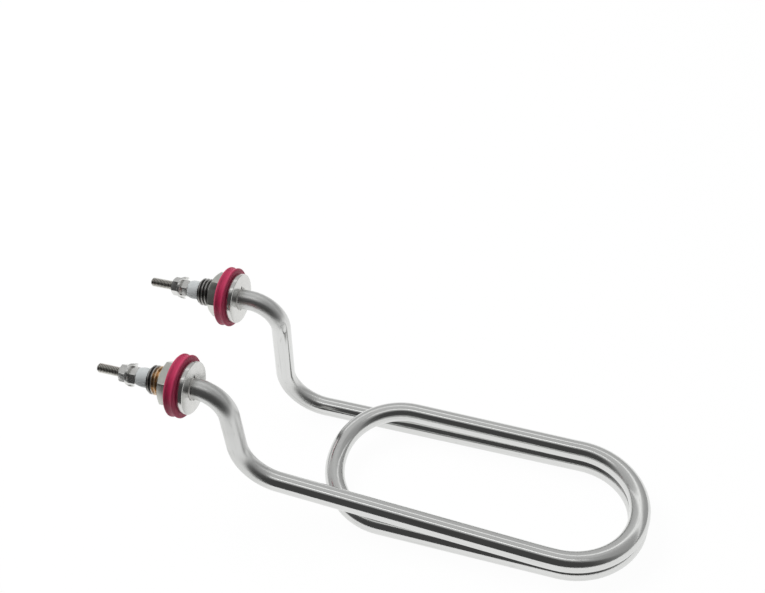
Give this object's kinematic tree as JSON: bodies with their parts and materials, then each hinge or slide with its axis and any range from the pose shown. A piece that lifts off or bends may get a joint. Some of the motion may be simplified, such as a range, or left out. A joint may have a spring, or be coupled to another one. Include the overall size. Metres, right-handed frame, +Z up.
{
  "type": "tubular heating element",
  "caption": "Metal-sheathed tubular heater bent into a flat looped coil, with risers to parallel threaded terminals that carry flanges, gaskets, nuts, ceramic bushes and studs.",
  "frame": {"origin": "under the middle of the part's bounding box, on the surface that the lower turn lies on", "axes": "+X along the legs towards the coil end, -X out of the terminals, +Y from the front leg to the rear leg, +Z up"},
  "size_m": [0.2274, 0.08, 0.0786],
  "materials": {
    "stainless_tube": "bright annealed, drawn lengthwise",
    "magnesium_oxide": "packed powder",
    "resistance_wire": "dull oxidised wire",
    "pin_steel": "dark threaded steel",
    "seal_silicone": "cured sealing compound",
    "ceramic": "pale fired ceramic",
    "bushing_steel": "turned, with a dark thread",
    "braze": "smooth silver braze",
    "gasket_silicone": "crimson moulded silicone",
    "nickel_nut": "nickel plated",
    "zinc_fastener": "bright zinc plated"
  },
  "bodies": {
    "root": {"sheath_tube": "stainless_tube", "insulating_powder": "magnesium_oxide", "resistance_coil": "resistance_wire", "front_terminal_pin": "pin_steel", "front_end_seal": "seal_silicone", "front_insulator": "ceramic", "front_bushing": "bushing_steel", "front_braze_ring": "braze", "front_gasket": "gasket_silicone", "front_bushing_nut": "nickel_nut", "front_inner_nut": "zinc_fastener", "front_saddle_washer": "zinc_fastener", "front_plain_washer": "zinc_fastener", "front_outer_nut": "zinc_fastener", "rear_terminal_pin": "pin_steel", "rear_end_seal": "seal_silicone", "rear_insulator": "ceramic", "rear_bushing": "bushing_steel", "rear_braze_ring": "braze", "rear_gasket": "gasket_silicone", "rear_bushing_nut": "nickel_nut", "rear_inner_nut": "zinc_fastener", "rear_saddle_washer": "zinc_fastener", "rear_plain_washer": "zinc_fastener", "rear_outer_nut": "zinc_fastener"}
  },
  "joints": []
}
